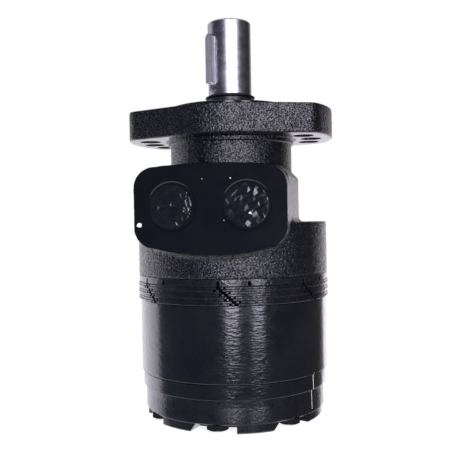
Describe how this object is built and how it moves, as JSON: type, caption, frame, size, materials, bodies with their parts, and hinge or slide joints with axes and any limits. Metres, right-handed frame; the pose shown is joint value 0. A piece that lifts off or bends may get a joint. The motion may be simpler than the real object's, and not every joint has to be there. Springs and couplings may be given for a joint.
{
  "type": "hydraulic motor",
  "caption": "Orbital hydraulic motor: round barrel of stacked plates and rings, cast neck with a side port pad, drilled mounting flange, pilot and a keyed straight output shaft.",
  "frame": {"origin": "centre of the flange's mounting face, on the shaft axis", "axes": "+Z out along the output shaft, +X along the flange's long axis, port pad facing -Y"},
  "size_m": [0.1338, 0.1275, 0.2563],
  "materials": {
    "cast_paint": "satin black paint over sand-cast iron",
    "stack_paint": "semi-gloss black paint with orange peel",
    "bolt_paint": "semi-gloss black paint over steel bolts",
    "shaft_steel": "ground, lightly oiled",
    "key_steel": "drawn key steel, satin",
    "bearing_steel": "hardened and ground",
    "inner_steel": "hardened, oiled",
    "seal_rubber": "matte black nitrile",
    "plug_plastic": "black, painted over"
  },
  "bodies": {
    "housing_body": {"housing": "cast_paint", "seal_retaining_ring": "bearing_steel", "shaft_seal": "seal_rubber", "seal_backup_washer": "bearing_steel", "front_bearing_cup": "bearing_steel", "thrust_washer_front": "bearing_steel", "rear_bearing_cup": "bearing_steel", "wear_plate": "stack_paint", "manifold_plate_1": "stack_paint", "manifold_plate_2": "stack_paint", "manifold_plate_3": "stack_paint", "manifold_plate_4": "stack_paint", "manifold_plate_5": "stack_paint", "manifold_plate_6": "stack_paint", "manifold_plate_7": "stack_paint", "manifold_plate_8": "stack_paint", "stator_ring": "stack_paint", "balance_plate": "stack_paint", "end_cover": "stack_paint", "cover_bolts": "bolt_paint", "body_seal_rings": "seal_rubber"},
    "shaft_body": {"output_shaft": "shaft_steel", "shaft_key": "key_steel", "dust_lip": "seal_rubber", "thrust_washer_rear": "bearing_steel"},
    "front_cage": {"front_bearing_needles": "bearing_steel"},
    "thrust_cage": {"thrust_bearing": "bearing_steel"},
    "rear_cage": {"rear_bearing_needles": "bearing_steel"},
    "orbit_body": {"drive_spacer": "inner_steel"},
    "rotor_body": {"rotor": "inner_steel"},
    "link_body": {"drive_link": "inner_steel"},
    "roller_1_body": {"roller_1": "inner_steel"},
    "roller_2_body": {"roller_2": "inner_steel"},
    "roller_3_body": {"roller_3": "inner_steel"},
    "roller_4_body": {"roller_4": "inner_steel"},
    "roller_5_body": {"roller_5": "inner_steel"},
    "roller_6_body": {"roller_6": "inner_steel"},
    "roller_7_body": {"roller_7": "inner_steel"},
    "plug_left_body": {"port_plug_left": "plug_plastic"},
    "plug_right_body": {"port_plug_right": "plug_plastic"}
  },
  "joints": [
    {"name": "shaft_spin", "type": "hinge", "parent": "housing_body", "child": "shaft_body", "pos_m": [0, 0, 0], "axis": [0, 0, 1], "continuous": true},
    {"name": "front_cage_spin", "type": "hinge", "parent": "housing_body", "child": "front_cage", "pos_m": [0, 0, -0.025], "axis": [0, 0, 1], "continuous": true},
    {"name": "thrust_cage_spin", "type": "hinge", "parent": "housing_body", "child": "thrust_cage", "pos_m": [0, 0, -0.0415], "axis": [0, 0, 1], "continuous": true},
    {"name": "rear_cage_spin", "type": "hinge", "parent": "housing_body", "child": "rear_cage", "pos_m": [0, 0, -0.087], "axis": [0, 0, 1], "continuous": true},
    {"name": "rotor_orbit", "type": "hinge", "parent": "housing_body", "child": "orbit_body", "pos_m": [0, 0, -0.1417], "axis": [0, 0, 1], "continuous": true},
    {"name": "rotor_spin", "type": "hinge", "parent": "orbit_body", "child": "rotor_body", "pos_m": [0.00126, -0.00261, -0.1417], "axis": [0, 0, 1], "continuous": true},
    {"name": "link_spin", "type": "hinge", "parent": "orbit_body", "child": "link_body", "pos_m": [0, 0, -0.076], "axis": [-0.0192, 0.0398, 0.999], "continuous": true},
    {"name": "roller_1_spin", "type": "hinge", "parent": "housing_body", "child": "roller_1_body", "pos_m": [0.01584, -0.03289, -0.1417], "axis": [0, 0, 1], "continuous": true},
    {"name": "roller_2_spin", "type": "hinge", "parent": "housing_body", "child": "roller_2_body", "pos_m": [0.03558, -0.00812, -0.1417], "axis": [0, 0, 1], "continuous": true},
    {"name": "roller_3_spin", "type": "hinge", "parent": "housing_body", "child": "roller_3_body", "pos_m": [0.02854, 0.02276, -0.1417], "axis": [0, 0, 1], "continuous": true},
    {"name": "roller_4_spin", "type": "hinge", "parent": "housing_body", "child": "roller_4_body", "pos_m": [0, 0.0365, -0.1417], "axis": [0, 0, 1], "continuous": true},
    {"name": "roller_5_spin", "type": "hinge", "parent": "housing_body", "child": "roller_5_body", "pos_m": [-0.02854, 0.02276, -0.1417], "axis": [0, 0, 1], "continuous": true},
    {"name": "roller_6_spin", "type": "hinge", "parent": "housing_body", "child": "roller_6_body", "pos_m": [-0.03558, -0.00812, -0.1417], "axis": [0, 0, 1], "continuous": true},
    {"name": "roller_7_spin", "type": "hinge", "parent": "housing_body", "child": "roller_7_body", "pos_m": [-0.01584, -0.03289, -0.1417], "axis": [0, 0, 1], "continuous": true},
    {"name": "port_plug_left_pull", "type": "slide", "parent": "housing_body", "child": "plug_left_body", "axis": [0, -1, 0], "range_m": [0, 0.06]},
    {"name": "port_plug_right_pull", "type": "slide", "parent": "housing_body", "child": "plug_right_body", "axis": [0, -1, 0], "range_m": [0, 0.06]}
  ],
  "couplings": [
    {"joint": "front_cage_spin", "follows": "shaft_spin", "ratio": 0.45329},
    {"joint": "thrust_cage_spin", "follows": "shaft_spin", "ratio": 0.5},
    {"joint": "rear_cage_spin", "follows": "shaft_spin", "ratio": 0.46353},
    {"joint": "rotor_orbit", "follows": "shaft_spin", "ratio": -6},
    {"joint": "rotor_spin", "follows": "shaft_spin", "ratio": 7},
    {"joint": "link_spin", "follows": "shaft_spin", "ratio": 7}
  ]
}
